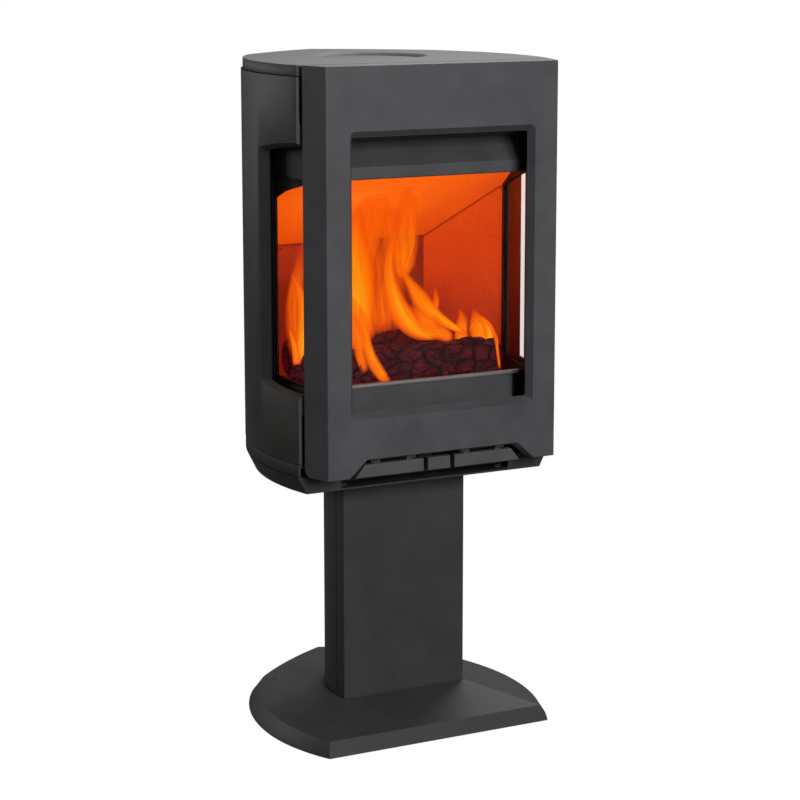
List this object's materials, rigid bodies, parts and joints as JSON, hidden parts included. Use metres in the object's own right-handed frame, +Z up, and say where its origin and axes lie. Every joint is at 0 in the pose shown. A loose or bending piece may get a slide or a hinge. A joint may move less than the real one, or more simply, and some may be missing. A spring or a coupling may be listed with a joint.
{
  "type": "wood burning stove",
  "caption": "Pedestal wood stove: curved cast casing, framed glass door, side panes, lined firebox, ash drawer, air slide, rear flue collar, column and flared base.",
  "frame": {"origin": "on the floor, under the middle of the bounding box", "axes": "+Z up, front of the stove facing -Y, +X to the right seen from the front"},
  "size_m": [0.496, 0.5159, 1.133],
  "materials": {
    "painted_cast_iron": "matt stove paint over fine sand-cast iron",
    "door_cast_iron": "matt stove paint over fine sand-cast iron",
    "side_cast_iron": "matt stove paint over fine sand-cast iron",
    "top_cast_iron": "matt stove paint over fine sand-cast iron",
    "bare_cast_iron": "bare, heat-darkened",
    "column_steel": "matt stove paint over smooth sheet",
    "painted_sheet_steel": "matt stove paint over smooth sheet",
    "firebox_steel": "matt black, sooty inside",
    "hood_steel": "satin dark grey",
    "handle_steel": "satin dark grey",
    "bright_rail": "satin",
    "zinc_plated_steel": "zinc plated",
    "fire_board": "pressed mineral board, grainy",
    "fire_glass": "clear heat-proof glass ceramic",
    "rope_seal": "flat braided glass-fibre rope"
  },
  "bodies": {
    "stove": {"base_plate": "painted_cast_iron", "levelling_feet": "zinc_plated_steel", "foot_flange": "painted_sheet_steel", "head_flange": "painted_sheet_steel", "column_bolts": "zinc_plated_steel", "column_posts": "painted_sheet_steel", "column_rear_shell": "column_steel", "column_front_cover": "column_steel", "air_duct": "zinc_plated_steel", "lower_tray": "painted_cast_iron", "deck_posts": "zinc_plated_steel", "deck_casting": "painted_cast_iron", "drawer_runners": "painted_sheet_steel", "rod_guide": "painted_sheet_steel", "firebox_shell": "firebox_steel", "front_frame": "firebox_steel", "firebox_floor": "firebox_steel", "ash_chute": "firebox_steel", "hearth_liner": "fire_board", "grate": "bare_cast_iron", "side_liner_left": "fire_board", "side_liner_right": "fire_board", "back_liner": "fire_board", "smoke_deflector": "firebox_steel", "firebox_top": "firebox_steel", "blanking_disc": "bare_cast_iron", "rear_air_duct": "painted_sheet_steel", "flue_collar": "painted_cast_iron", "heat_shield": "zinc_plated_steel", "side_glass_left": "fire_glass", "side_glass_right": "fire_glass", "side_retainer_left": "firebox_steel", "side_retainer_right": "firebox_steel", "casing_left": "side_cast_iron", "casing_right": "side_cast_iron", "back_cover": "painted_sheet_steel", "casing_brackets": "zinc_plated_steel", "back_screws": "zinc_plated_steel", "top_plate": "top_cast_iron", "top_supports": "zinc_plated_steel", "hinge_brackets": "painted_sheet_steel", "latch_keeper": "painted_sheet_steel"},
    "door": {"door_casting": "door_cast_iron", "hinge_pins": "zinc_plated_steel", "door_inner_frame": "firebox_steel", "front_glass": "fire_glass", "glass_gasket": "rope_seal", "door_gasket": "rope_seal", "door_hood": "hood_steel", "bottom_rail": "bright_rail", "sill_panel": "hood_steel", "left_grip": "handle_steel", "handle_pins": "painted_sheet_steel"},
    "latch_handle": {"latch_handle": "handle_steel"},
    "ash_drawer": {"ash_drawer": "painted_sheet_steel"},
    "air_control": {"air_knob": "handle_steel", "air_slide": "painted_sheet_steel"},
    "flue_cover": {"flue_cover": "top_cast_iron"},
    "baffle": {"baffle": "fire_board"}
  },
  "joints": [
    {"name": "door_hinge", "type": "hinge", "parent": "stove", "child": "door", "pos_m": [-0.213, -0.212, 0.8], "axis": [0, 0, -1], "range_deg": [0, 100]},
    {"name": "latch_tilt", "type": "hinge", "parent": "door", "child": "latch_handle", "pos_m": [0.083, -0.234, 0.493], "axis": [-1, 0, 0], "range_deg": [0, 15]},
    {"name": "ash_drawer_slide", "type": "slide", "parent": "stove", "child": "ash_drawer", "axis": [0, -1, 0], "range_m": [0, 0.22]},
    {"name": "air_slide", "type": "slide", "parent": "stove", "child": "air_control", "axis": [0, -1, 0], "range_m": [0, 0.018]},
    {"name": "flue_cover_lift", "type": "slide", "parent": "stove", "child": "flue_cover", "axis": [0, 0, 1], "range_m": [0, 0.06]},
    {"name": "baffle_lift", "type": "slide", "parent": "stove", "child": "baffle", "axis": [0, 0, 1], "range_m": [0, 0.02]}
  ]
}
